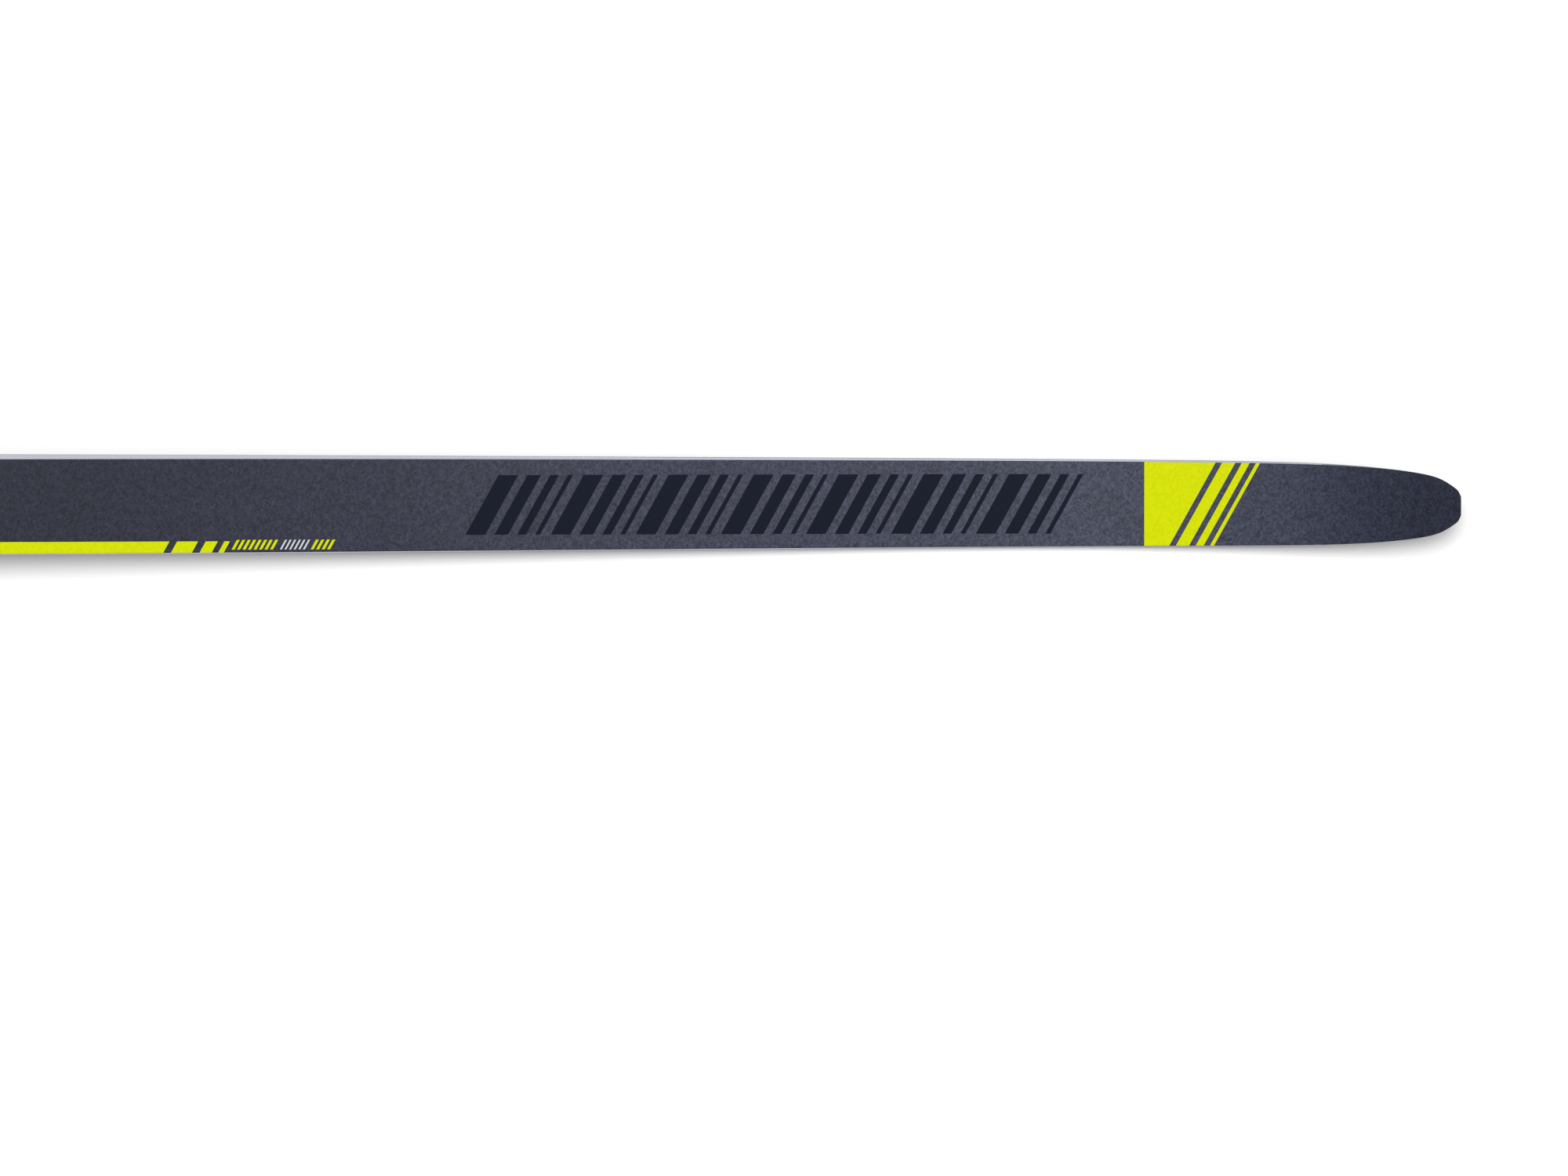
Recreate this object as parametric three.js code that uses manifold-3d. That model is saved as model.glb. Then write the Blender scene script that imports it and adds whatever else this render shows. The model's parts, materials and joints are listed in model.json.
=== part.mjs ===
// A cross country skating ski with its slide-on binding, in millimetres: +X runs to the tip, +Z is up.
// The origin lies on the floor under the middle of the ski. The ski is a sandwich of a running sole, two
// fibre laminates, a wood core between sidewalls and a top sheet. It carries a plate that the binding's toe
// unit and heel unit slide on. The toe unit's lever turns a crank that draws a steel jaw off the toe bar.
import * as THREE from "three";
import { mergeVertices } from "three/addons/utils/BufferGeometryUtils.js";
import Module from "manifold-3d";

const wasm = await Module();
wasm.setup();

// ---------------------------------------------------------------- driving dimensions
const LENGTH = 1860;
const TIP_X = LENGTH / 2;
const TAIL_X = -LENGTH / 2;
const STATION_STEP = 42; // longest stretch between two cross sections

const CAMBER = 22; // height of the sole's arch when unloaded
const FRONT_CONTACT = [700, 730]; // flat patches where the sole meets the floor
const REAR_CONTACT = [-875, -855];
const TIP_RISE = 27;
const TAIL_RISE = 4;

// Half width of the top sheet, by distance behind the tip.
const TOP_OUTLINE = [
  [0, 4.2], [0.5, 5.4], [1.3, 6.9], [2.6, 8.1], [10.5, 12.7], [16, 14.2], [24, 15.5], [36, 16.8],
  [52, 17.8], [75, 18.5], [120, 19.0], [165, 19.3], [310, 20.1], [600, 21.4], [930, 21.8], [1400, 21.5],
  [1785, 20.8], [1825, 19.8], [1846, 17.8], [1855, 15.2], [1859, 12.2], [1860, 10],
];
// Thickness from the sole to the top sheet, by distance behind the tip.
const THICKNESS = [
  [0, 5], [60, 5.4], [230, 8], [480, 13.5], [750, 23], [990, 25], [1260, 22.5], [1530, 14.5], [1785, 8.5],
  [1860, 7],
];
const FLARE = 0.5; // each sidewall leans out by this much, and by FLARE_SHARE of the thickness
const FLARE_SHARE = 0.05;

const GLUE = 0.1; // bond line between two layers
const SOLE = 1.3;
const LAMINATE = 0.6;
const TOP_SHEET = 0.7;
const SIDEWALL = 2.2;
const MAT = { from: -380, to: 240, thick: 0.8 }; // reinforcement under the binding
const GROOVE = { half: 3.4, floorHalf: 2.4, depth: 0.8, from: -900, to: 780, fade: 40 };

const SPACER_FRONT = 867; // the tip spacer takes over from core and sidewalls here
const SPACER_REAR = -880;
const SPLICES = [-600, 480]; // sole and core are made up of three lengths
const TAIL_CAP = 16; // length of the moulded tail end

const PLATE = { from: -366, to: 150, stemHalf: 15, flangeHalf: 19, flange: 2.2, thick: 5, nose: 34 };
const TOE_X = -60; // the boot's toe bar, at the balance point
const HEEL_X = TOE_X - 238;
const RACK = { pitch: 5, count: 9, slot: 2.6, half: 4.5, depth: 1.6 };
const LATCH_TOOTH = 15.5; // from a latch's pivot to its tooth

const RIDGE = { inner: 7.5, outer: 12.5, top: 9.5 };
const FLOOR_TOP = 3.45; // of either unit's tray, above the plate
const FLOOR_BOTTOM = 0.45;
const TRAY_HALF = 22.2;
const PIN = { u: 36, w: 10.5, r: 2, bore: 2.06 };
const CRANK = { arm: 4.9, tooth: 1.5, half: 4.2, rest: THREE.MathUtils.degToRad(37.5) };

// ---------------------------------------------------------------- small tools
// A smooth curve through points of rising x that never overshoots them.
function smoothThrough(points) {
  const last = points.length - 1;
  const step = (i) => points[i + 1][0] - points[i][0];
  const rise = (i) => (points[i + 1][1] - points[i][1]) / step(i);
  const slope = points.map((_, i) => {
    if (i === 0) return rise(0);
    if (i === last) return rise(last - 1);
    const before = rise(i - 1);
    const after = rise(i);
    if (before * after <= 0) return 0;
    const a = 2 * step(i) + step(i - 1);
    const b = step(i) + 2 * step(i - 1);
    return (a + b) / (a / before + b / after);
  });
  return (x) => {
    let i = 0;
    while (i < last - 1 && x > points[i + 1][0]) i++;
    const h = step(i);
    const t = THREE.MathUtils.clamp((x - points[i][0]) / h, 0, 1);
    const s = 1 - t;
    return (
      points[i][1] * s * s * (1 + 2 * t) + points[i + 1][1] * t * t * (1 + 2 * s) +
      slope[i] * h * t * s * s - slope[i + 1] * h * s * t * t
    );
  };
}

function solidOf(geometry) {
  const bare = geometry.clone();
  bare.deleteAttribute("normal");
  bare.deleteAttribute("uv");
  const merged = mergeVertices(bare, 1e-4);
  return new wasm.Manifold(
    new wasm.Mesh({
      numProp: 3,
      vertProperties: new Float32Array(merged.attributes.position.array),
      triVerts: new Uint32Array(merged.index.array),
    }),
  );
}

function geometryOf(solid) {
  const { vertProperties, triVerts } = solid.getMesh();
  return new THREE.BufferGeometry()
    .setAttribute("position", new THREE.BufferAttribute(vertProperties, 3))
    .setIndex(new THREE.BufferAttribute(triVerts, 1));
}

const join = (...pieces) => geometryOf(pieces.map(solidOf).reduce((a, b) => a.add(b)));
const cut = (body, ...tools) =>
  geometryOf(tools.map(solidOf).reduce((a, b) => a.subtract(b), solidOf(body)));
const overlapOf = (a, b) => geometryOf(solidOf(a).intersect(solidOf(b)));

// A closed outline through corners [x, y, corner radius].
function outline(corners) {
  const shape = new THREE.Shape();
  const at = (i) => new THREE.Vector2(...corners[(i + corners.length) % corners.length].slice(0, 2));
  corners.forEach(([x, y, r = 0], i) => {
    const towards = (j) => at(j).sub(at(i)).setLength(r).add(at(i));
    const start = towards(i - 1);
    if (i === 0) shape.moveTo(start.x, start.y);
    else shape.lineTo(start.x, start.y);
    if (r > 0) shape.quadraticCurveTo(x, y, ...towards(i + 1).toArray());
  });
  return shape;
}

const extrude = (shape, depth) =>
  new THREE.ExtrudeGeometry(shape, { depth, bevelEnabled: false, curveSegments: 3 });

// A side view (x, z) carried across from y0 to y1.
const across = (corners, y0, y1) =>
  extrude(outline(corners), y1 - y0).rotateX(Math.PI / 2).translate(0, y1, 0);

// A cross section (y, z) carried along from x0 to x1.
const X_AXIS = new THREE.Vector3(1, 0, 0);
const Y_AXIS = new THREE.Vector3(0, 1, 0);
const Z_AXIS = new THREE.Vector3(0, 0, 1);
const along = (corners, x0, x1) =>
  extrude(outline(corners), x1 - x0)
    .applyMatrix4(new THREE.Matrix4().makeBasis(Y_AXIS, Z_AXIS, X_AXIS))
    .translate(x0, 0, 0);

// A plan (x, y) carried up from z0 to z1.
const upward = (corners, z0, z1) => extrude(outline(corners), z1 - z0).translate(0, 0, z0);

const block = (x0, x1, y0, y1, z0, z1) =>
  new THREE.BoxGeometry(x1 - x0, y1 - y0, z1 - z0).translate((x0 + x1) / 2, (y0 + y1) / 2, (z0 + z1) / 2);

// A round bar along Y through (x, z).
const crossBar = (x, z, r, y0, y1, sides = 24) =>
  new THREE.CylinderGeometry(r, r, y1 - y0, sides).translate(x, (y0 + y1) / 2, z);

// Skins closed rings of [y, z], one for each x, into a solid. Each ring runs anticlockwise seen from +X.
function loft(stations, ringAt) {
  const rings = stations.map(ringAt);
  const n = rings[0].length;
  const positions = rings.flatMap((ring, i) => ring.flatMap(([y, z]) => [stations[i], y, z]));
  const faces = [];
  for (let i = 0; i + 1 < rings.length; i++) {
    for (let j = 0; j < n; j++) {
      const k = (j + 1) % n;
      const [a, b, c, d] = [i * n + j, i * n + k, (i + 1) * n + k, (i + 1) * n + j];
      faces.push(a, b, c, a, c, d);
    }
  }
  const cap = (ring) =>
    THREE.ShapeUtils.triangulateShape(ring.map(([y, z]) => new THREE.Vector2(y, z)), []);
  const end = (rings.length - 1) * n;
  for (const [a, b, c] of cap(rings[0])) faces.push(c, b, a);
  for (const [a, b, c] of cap(rings.at(-1))) faces.push(end + a, end + b, end + c);
  return new THREE.BufferGeometry()
    .setAttribute("position", new THREE.Float32BufferAttribute(positions, 3))
    .setIndex(faces);
}

// ---------------------------------------------------------------- the ski's shape
const behindTip = (x) => TIP_X - x;
const widthCurve = smoothThrough(TOP_OUTLINE);
const thicknessCurve = smoothThrough(THICKNESS);
const topHalf = (x) => widthCurve(behindTip(x));
const thickness = (x) => thicknessCurve(behindTip(x));

function soleHeight(x) {
  if (x > FRONT_CONTACT[1]) return TIP_RISE * ((x - FRONT_CONTACT[1]) / (TIP_X - FRONT_CONTACT[1])) ** 2;
  if (x < REAR_CONTACT[0]) return TAIL_RISE * ((x - REAR_CONTACT[0]) / (TAIL_X - REAR_CONTACT[0])) ** 2;
  const middle = (FRONT_CONTACT[0] + REAR_CONTACT[1]) / 2;
  const u = (x - middle) / ((FRONT_CONTACT[0] - REAR_CONTACT[1]) / 2);
  return Math.abs(u) < 1 ? CAMBER * (1 - u * u) ** 1.5 : 0;
}

const skiTop = (x) => soleHeight(x) + thickness(x);
const plateTop = (x) => skiTop(x) + GLUE + PLATE.thick;
const slopeOf = (curve, x) => (curve(x + 1) - curve(x - 1)) / 2;

// The sidewalls lean out towards the sole, and stand upright from the tip spacer on.
const flareGrowth = (x) => THREE.MathUtils.smoothstep(behindTip(x), 20, 90);
const flare = (x) => (FLARE + FLARE_SHARE * thickness(x)) * flareGrowth(x);
const skiHalf = (x, z) => topHalf(x) + (flare(x) * (skiTop(x) - z)) / thickness(x);
const coreHalf = (x) => topHalf(x) - SIDEWALL;

const level = {
  soleTop: (x) => soleHeight(x) + SOLE,
  lowerLaminate: (x) => soleHeight(x) + SOLE + GLUE,
  lowerLaminateTop: (x) => soleHeight(x) + SOLE + LAMINATE + GLUE,
  coreBottom: (x) => soleHeight(x) + SOLE + LAMINATE + 2 * GLUE,
  coreTop: (x) => skiTop(x) - TOP_SHEET - LAMINATE - 2 * GLUE,
  upperLaminate: (x) => skiTop(x) - TOP_SHEET - LAMINATE - GLUE,
  upperLaminateTop: (x) => skiTop(x) - TOP_SHEET - GLUE,
  sheetBottom: (x) => skiTop(x) - TOP_SHEET,
};

const SKI_STATIONS = (() => {
  const marks = [...TOP_OUTLINE.map(([d]) => TIP_X - d), ...FRONT_CONTACT, ...REAR_CONTACT];
  marks.sort((a, b) => a - b);
  const all = [marks[0]];
  for (const x of marks.slice(1)) {
    const from = all.at(-1);
    const parts = Math.ceil((x - from) / STATION_STEP);
    for (let i = 1; i <= parts; i++) all.push(from + ((x - from) * i) / parts);
  }
  return all;
})();

function stationsBetween(from, to) {
  const clear = 0.2;
  return [from, ...SKI_STATIONS.filter((x) => x > from + clear && x < to - clear), to];
}

const LAYERS_FROM = TAIL_X + TAIL_CAP; // every layer butts against the tail end here

// A layer over the ski's whole width, between two heights.
function fullWidth(from, to, bottomAt, topAt) {
  return loft(stationsBetween(from, to), (x) => {
    const [z0, z1] = [bottomAt(x), topAt(x)];
    const [y0, y1] = [skiHalf(x, z0), skiHalf(x, z1)];
    return [[-y0, z0], [y0, z0], [y1, z1], [-y1, z1]];
  });
}

function sole(from, to) {
  const { smoothstep } = THREE.MathUtils;
  return loft(stationsBetween(from, to), (x) => {
    const [z0, z1] = [soleHeight(x), level.soleTop(x)];
    const [y0, y1] = [skiHalf(x, z0), skiHalf(x, z1)];
    const opening = smoothstep(x, GROOVE.from, GROOVE.from + GROOVE.fade);
    const closing = smoothstep(x, GROOVE.to - GROOVE.fade, GROOVE.to);
    const roof = z0 + GROOVE.depth * (opening - closing);
    return [
      [-y0, z0], [-GROOVE.half, z0], [-GROOVE.floorHalf, roof], [GROOVE.floorHalf, roof], [GROOVE.half, z0],
      [y0, z0], [y1, z1], [-y1, z1],
    ];
  });
}

function sidewall(side) {
  return loft(stationsBetween(SPACER_REAR, SPACER_FRONT), (x) => {
    const [z0, z1] = [level.coreBottom(x), level.coreTop(x)];
    const inner = coreHalf(x) + GLUE;
    const ring = [[inner, z0], [skiHalf(x, z0), z0], [skiHalf(x, z1), z1], [inner, z1]];
    return side > 0 ? ring : ring.map(([y, z]) => [-y, z]).reverse();
  });
}

// The mat that lies in the core's top, or with room around it, the recess it lies in.
function reinforcementMat(room = 0) {
  return loft(stationsBetween(MAT.from - room, MAT.to + room), (x) => {
    const [y, z1] = [coreHalf(x) + room, level.coreTop(x) + room];
    const z0 = z1 - MAT.thick - 2 * room;
    return [[-y, z0], [y, z0], [y, z1], [-y, z1]];
  });
}

// A length of core with rows of air channels milled through it.
function core(from, to) {
  const channel = { length: 88, web: 17, half: 2.6, margin: 14, thinnest: 8, rows: [-10, 0, 10] };
  const body = loft(stationsBetween(from, to), (x) => {
    const [y, z0, z1] = [coreHalf(x), level.coreBottom(x), level.coreTop(x)];
    return [[-y, z0], [y, z0], [y, z1], [-y, z1]];
  });
  const tools = [reinforcementMat(GLUE)];
  const pitch = channel.length + channel.web;
  const count = Math.floor((to - from - 2 * channel.margin + channel.web) / pitch);
  const first = (from + to - count * pitch + channel.web) / 2;
  for (let i = 0; i < count; i++) {
    const [x0, x1] = [first + i * pitch, first + i * pitch + channel.length];
    if (Math.min(thickness(x0), thickness(x1)) < channel.thinnest) continue;
    for (const y of channel.rows) {
      tools.push(block(x0, x1, y - channel.half, y + channel.half, -1, 2 * CAMBER + 30));
    }
  }
  return cut(body, ...tools);
}

// ---------------------------------------------------------------- the binding plate
// A flange on a narrower stem, so that the units' hooks reach under its edges. Its nose narrows and thins.
function mountingPlate() {
  const { smoothstep, lerp } = THREE.MathUtils;
  const ends = [PLATE.from, PLATE.to];
  const middle = stationsBetween(PLATE.from + 8, PLATE.to - PLATE.nose);
  const nose = [0.35, 0.6, 0.8, 0.93].map((share) => PLATE.to - PLATE.nose * (1 - share));
  const body = loft([ends[0], ...middle, ...nose, ends[1]], (x) => {
    const slim = smoothstep(x, PLATE.to - PLATE.nose, PLATE.to + 6);
    const rear = smoothstep(PLATE.from + 8 - x, 0, 14);
    const flangeHalf = lerp(PLATE.flangeHalf, 9, slim) - 3 * rear;
    const stemHalf = Math.min(PLATE.stemHalf, flangeHalf - 1);
    const bottom = skiTop(x) + GLUE;
    const top = bottom + lerp(PLATE.thick, 3, slim) - 1.2 * rear;
    const shelf = top - lerp(PLATE.flange, 1.2, slim);
    return [
      [-stemHalf, bottom], [stemHalf, bottom], [stemHalf, shelf], [flangeHalf, shelf],
      [flangeHalf, top], [-flangeHalf, top], [-flangeHalf, shelf], [-stemHalf, shelf],
    ];
  });
  const slots = [TOE_LATCH.u + TOE_X, HEEL_LATCH.u + HEEL_X].flatMap((pivot) =>
    Array.from({ length: RACK.count }, (_, i) => {
      const x = pivot - LATCH_TOOTH + (i - (RACK.count - 1) / 2) * RACK.pitch;
      const top = plateTop(x);
      return block(x - RACK.slot / 2, x + RACK.slot / 2, -RACK.half, RACK.half, top - RACK.depth, top + 2);
    }),
  );
  return cut(body, ...slots);
}

// ---------------------------------------------------------------- shared by both binding units
const TOE_LATCH = { u: -44, w: 6.1 };
const HEEL_LATCH = { u: -24, w: 6.1 };
const LATCH_PIN = { r: 1, bore: 1.05, half: 11 };

// A tray whose edges hook under the plate's flange, trimmed to a plan.
function tray(from, to, plan) {
  const hook = { inner: 16.2, wall: 19.6, top: -3.15, bottom: -4.5 };
  const half = [
    [hook.inner, hook.bottom], [TRAY_HALF - 1, hook.bottom], [TRAY_HALF, hook.bottom + 1],
    [TRAY_HALF, FLOOR_TOP - 1], [TRAY_HALF - 1, FLOOR_TOP],
  ];
  const inside = [[hook.inner, hook.top], [hook.wall, hook.top], [hook.wall, FLOOR_BOTTOM]];
  const mirrored = (points) => points.map(([y, z]) => [-y, z]).reverse();
  const outside = [...half, ...mirrored(half)];
  const back = [...inside].reverse();
  const section = [...outside, ...mirrored(back), ...back];
  return overlapOf(along(section, from, to), upward(plan, -10, 10));
}

// The two ridges that run in the grooves of the boot's sole.
function ridges(from, to) {
  const side = [
    [from, FLOOR_TOP - 0.25], [to, FLOOR_TOP - 0.25], [to, RIDGE.top - 0.8, 0.6],
    [to - 1, RIDGE.top, 0.5], [from + 6, RIDGE.top, 1.5],
  ];
  return [across(side, RIDGE.inner, RIDGE.outer), across(side, -RIDGE.outer, -RIDGE.inner)];
}

// A window for a latch's tooth, and the bores for its pin.
function latchCuts({ u, w }) {
  const tooth = u - LATCH_TOOTH;
  return [
    block(tooth - 2.7, tooth + 1.8, -4.6, 4.6, FLOOR_BOTTOM - 1, FLOOR_TOP + 1),
    crossBar(u, w, LATCH_PIN.bore, -LATCH_PIN.half - 0.3, LATCH_PIN.half + 0.3, 16),
  ];
}

// A flap with a tooth over the plate's rack and a lip for a finger.
function latch({ u, w }) {
  const under = FLOOR_TOP + 0.4;
  const back = u - LATCH_TOOTH - 5.2;
  const flap = [
    [back, under + 0.9, 0.4], [back + 1.6, under], [u + 0.8, under], [u + 2.1, under + 1.2, 0.6],
    [u + 2.1, w + 2, 1.4], [u - 2.3, w + 2.2, 1.2], [u - 6, under + 2.5, 1.5],
    [back + 4, under + 2.5, 1], [back + 1, under + 3.4, 0.5], [back, under + 3.2, 0.4],
  ];
  const tooth = u - LATCH_TOOTH;
  return cut(
    join(across(flap, -6.4, 6.4), block(tooth - 1.1, tooth + 1.1, -4, 4, FLOOR_BOTTOM + 0.15, under + 1)),
    crossBar(u, w, LATCH_PIN.bore, -7, 7, 16),
  );
}

const latchPin = ({ u, w }) => crossBar(u, w, LATCH_PIN.r, -LATCH_PIN.half, LATCH_PIN.half, 16);

// A rubber pad beside a ridge, where the boot's sole comes down.
function pad(from, to, side) {
  const [y0, y1] = side > 0 ? [13.3, 20.9] : [-20.9, -13.3];
  return upward([[from, y0, 1], [to, y0, 1], [to, y1, 1], [from, y1, 1]], FLOOR_TOP + 0.3, FLOOR_TOP + 2.2);
}

// ---------------------------------------------------------------- toe unit
const TOE_PLAN = [[-66, -23, 5], [60, -23, 10], [84, -16, 6], [84, 16, 6], [60, 23, 10], [-66, 23, 5]];
const FLEXOR = { from: 12.9, to: 27.6, half: 15.2, bottom: 9.6, top: 21 };

function toeBase() {
  const rail = [
    [8, 3.2], [82, 3.2], [82, 6, 1.5], [62, 9.5, 8], [44, 14.5, 6], [36, 16.8, 5], [26, 15.8, 3],
    [9, 11, 3],
  ];
  return cut(
    join(
      tray(-66, 84, TOE_PLAN),
      ...ridges(-64, -11.5),
      overlapOf(join(across(rail, 15.6, 19.6), across(rail, -19.6, -15.6)), upward(TOE_PLAN, 0, 30)),
      block(12.2, 28.6, -15.8, 15.8, 3.2, 9.3), // bridge that carries the flexor
      block(-2.3, 2.2, -13, 13, 3.2, 7.1), // saddle under the toe bar
      block(56.5, 60.5, -5, 5, 3.2, 9), // stop for the jaw's spring
    ),
    block(11, 29, -7.6, 7.6, FLOOR_TOP, 6.9), // tunnel for the jaw's tongue
    block(16.7, 23.3, -9.3, 9.3, 7.6, 10), // socket for the flexor's foot
    crossBar(PIN.u, PIN.w, PIN.bore, -20, 20),
    ...latchCuts(TOE_LATCH),
  );
}

// The fixed steel hook behind the boot's toe bar.
function barSeat() {
  return across([
    [-10.5, 3.75], [-2.6, 3.75], [-2.6, 11.4], [-1.3, 12.4, 0.3], [-1.3, 13.6, 0.3],
    [-4, 13.6, 1], [-5.6, 11.8, 1], [-5.6, 5.8, 0.5], [-10.5, 5.8, 0.5],
  ], -9, 9);
}

// The steel jaw: a tongue with a hook over the toe bar, a window for the crank and a tab for the spring.
function jaw() {
  const hook = [
    [2.7, 3.8], [41, 3.8], [41, 6.3], [5.6, 6.3], [5.6, 14.4, 1.4], [-0.7, 14.4, 0.6],
    [-0.7, 12.5, 0.3], [0.2, 12, 0.3], [2.7, 12, 0.3],
  ];
  return cut(
    join(across(hook, -7, 7), block(39.2, 41, -3, 3, 6, 8.3)),
    block(30.7, 35.4, -CRANK.half - 0.4, CRANK.half + 0.4, 3, 7),
  );
}

function jawSpring() {
  const spring = { from: 41.4, to: 56.2, w: 6.2, r: 1.95, wire: 0.4, turns: 6, steps: 12 };
  class Helix extends THREE.Curve {
    getPoint(t, target = new THREE.Vector3()) {
      const angle = t * spring.turns * 2 * Math.PI;
      const u = spring.from + spring.wire + t * (spring.to - spring.from - 2 * spring.wire);
      return target.set(u, spring.r * Math.cos(angle), spring.w + spring.r * Math.sin(angle));
    }
  }
  const wire = new THREE.Shape().absarc(0, 0, spring.wire, 0, 2 * Math.PI);
  return new THREE.ExtrudeGeometry(wire, {
    steps: spring.turns * spring.steps,
    curveSegments: 6,
    extrudePath: new Helix(),
  });
}

function flexor() {
  const { from, to, half, bottom, top } = FLEXOR;
  const side = [
    [from, bottom], [to, bottom], [to, top - 2.5, 1.5], [to - 2.5, top, 2], [from + 4.5, top, 3],
    [from + 0.6, top - 5, 2], [from, bottom + 3, 1],
  ];
  return join(across(side, -half, half), block(17, 23, -9, 9, 7.9, bottom + 1));
}

function lever() {
  const body = [
    [36, 10.6], [42, 9.8], [70, 9.6], [84, 6.4, 2], [88.5, 6, 0.6], [89, 8.6, 1],
    [72, 13.6, 10], [50, 17, 7], [38, 17.4, 4], [32.4, 15.6, 1.5],
  ];
  const toothU = PIN.u - CRANK.arm * Math.sin(CRANK.rest);
  const toothW = PIN.w - CRANK.arm * Math.cos(CRANK.rest);
  const arm = block(-CRANK.tooth, CRANK.tooth, -CRANK.half, CRANK.half, 0, CRANK.arm)
    .rotateY(CRANK.rest)
    .translate(toothU, 0, toothW);
  const plan = [[20, -14.8], [74, -14.8, 4], [90, -9, 4], [90, 9, 4], [74, 14.8, 4], [20, 14.8]];
  const eyes = [[-14.8, -8], [8, 14.8]].map(([y0, y1]) => crossBar(PIN.u, PIN.w, 6.3, y0, y1));
  const shell = overlapOf(join(across(body, -14.8, 14.8), ...eyes), upward(plan, 0, 30));
  const poleDimple = new THREE.SphereGeometry(7, 20, 10).translate(73, 0, 18.4);
  return cut(
    join(
      shell,
      crossBar(PIN.u, PIN.w, 3.4, -8.2, 8.2),
      arm,
      crossBar(toothU, toothW, CRANK.tooth, -CRANK.half, CRANK.half, 16),
    ),
    crossBar(PIN.u, PIN.w, PIN.bore, -16, 16),
    poleDimple,
  );
}

// ---------------------------------------------------------------- heel unit
function heelBase() {
  const plan = [[-46, -23, 5], [39, -23, 4], [46, -18, 4], [46, 18, 4], [39, 23, 4], [-46, 23, 5]];
  return cut(join(tray(-46, 46, plan), ...ridges(-44, 44)), ...latchCuts(HEEL_LATCH));
}

// ---------------------------------------------------------------- materials
const material = (color, roughness, metalness = 0) =>
  new THREE.MeshStandardMaterial({ color, roughness, metalness });
const charcoal = material(0x40424f, 0.45);
const blackSole = material(0x17181b, 0.5);
const fibre = material(0xbabcc8, 0.45);
const glassMat = material(0xb9bda4, 0.6);
const silverPlastic = material(0xb6bac8, 0.45);
const wood = material(0xc9a877, 0.7);
const blackPlastic = material(0x1d1e22, 0.55);
const nylon = material(0x232529, 0.6);
const greyNylon = material(0x3a3d45, 0.5);
const rubber = material(0x2c2d2f, 0.85);
const steel = material(0xa3a7ab, 0.3, 1);

// ---------------------------------------------------------------- assembly
function mesh(name, geometry, finish) {
  const made = new THREE.Mesh(geometry, finish);
  made.name = name;
  return made;
}

const [rearSplice, frontSplice] = SPLICES;
const ski = new THREE.Group();
ski.add(
  mesh("base_front", sole(frontSplice + GLUE, TIP_X), blackSole),
  mesh("base_middle", sole(rearSplice, frontSplice), blackSole),
  mesh("base_rear", sole(LAYERS_FROM, rearSplice - GLUE), blackSole),
  mesh("lower_laminate", fullWidth(LAYERS_FROM, TIP_X, level.lowerLaminate, level.lowerLaminateTop), fibre),
  mesh("core_front", core(frontSplice + GLUE, SPACER_FRONT), wood),
  mesh("core_middle", core(rearSplice, frontSplice), wood),
  mesh("core_rear", core(SPACER_REAR, rearSplice - GLUE), wood),
  mesh("tip_spacer", fullWidth(SPACER_FRONT + GLUE, TIP_X, level.coreBottom, level.coreTop), blackPlastic),
  mesh(
    "tail_spacer",
    fullWidth(LAYERS_FROM, SPACER_REAR - GLUE, level.coreBottom, level.coreTop),
    blackPlastic,
  ),
  mesh("sidewall_left", sidewall(1), silverPlastic),
  mesh("sidewall_right", sidewall(-1), silverPlastic),
  mesh("binding_reinforcement", reinforcementMat(), glassMat),
  mesh("upper_laminate", fullWidth(LAYERS_FROM, TIP_X, level.upperLaminate, level.upperLaminateTop), fibre),
  mesh("top_sheet", fullWidth(LAYERS_FROM, TIP_X, level.sheetBottom, skiTop), charcoal),
  mesh("tail_protector", fullWidth(TAIL_X, LAYERS_FROM - GLUE, soleHeight, skiTop), blackPlastic),
  mesh("mounting_plate", mountingPlate(), nylon),
);

// A group lying on the plate at x, with its slope taken at the unit's middle.
function unitOnPlate(x, middle) {
  const unit = new THREE.Group();
  unit.position.set(x, 0, plateTop(x));
  unit.rotation.y = -Math.atan(slopeOf(plateTop, middle));
  return unit;
}

const toeUnit = unitOnPlate(TOE_X, TOE_X + 9);
toeUnit.add(
  mesh("toe_base", toeBase(), nylon),
  mesh("toe_bar_seat", barSeat(), steel),
  mesh("jaw", jaw(), steel),
  mesh("jaw_spring", jawSpring(), steel),
  mesh("flexor", flexor(), rubber),
  mesh("lever", lever(), greyNylon),
  mesh("lever_pin", crossBar(PIN.u, PIN.w, PIN.r, -19.4, 19.4), steel),
  mesh("toe_latch", latch(TOE_LATCH), greyNylon),
  mesh("toe_latch_pin", latchPin(TOE_LATCH), steel),
  mesh("toe_pad_left", pad(-60, -14, 1), rubber),
  mesh("toe_pad_right", pad(-60, -14, -1), rubber),
);

const heelUnit = unitOnPlate(HEEL_X, HEEL_X);
heelUnit.add(
  mesh("heel_base", heelBase(), nylon),
  mesh("heel_pad_left", pad(-40, 38, 1), rubber),
  mesh("heel_pad_right", pad(-40, 38, -1), rubber),
  mesh("heel_latch", latch(HEEL_LATCH), greyNylon),
  mesh("heel_latch_pin", latchPin(HEEL_LATCH), steel),
);

const part = new THREE.Group();
part.add(ski, toeUnit, heelUnit);
export default part;
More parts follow.
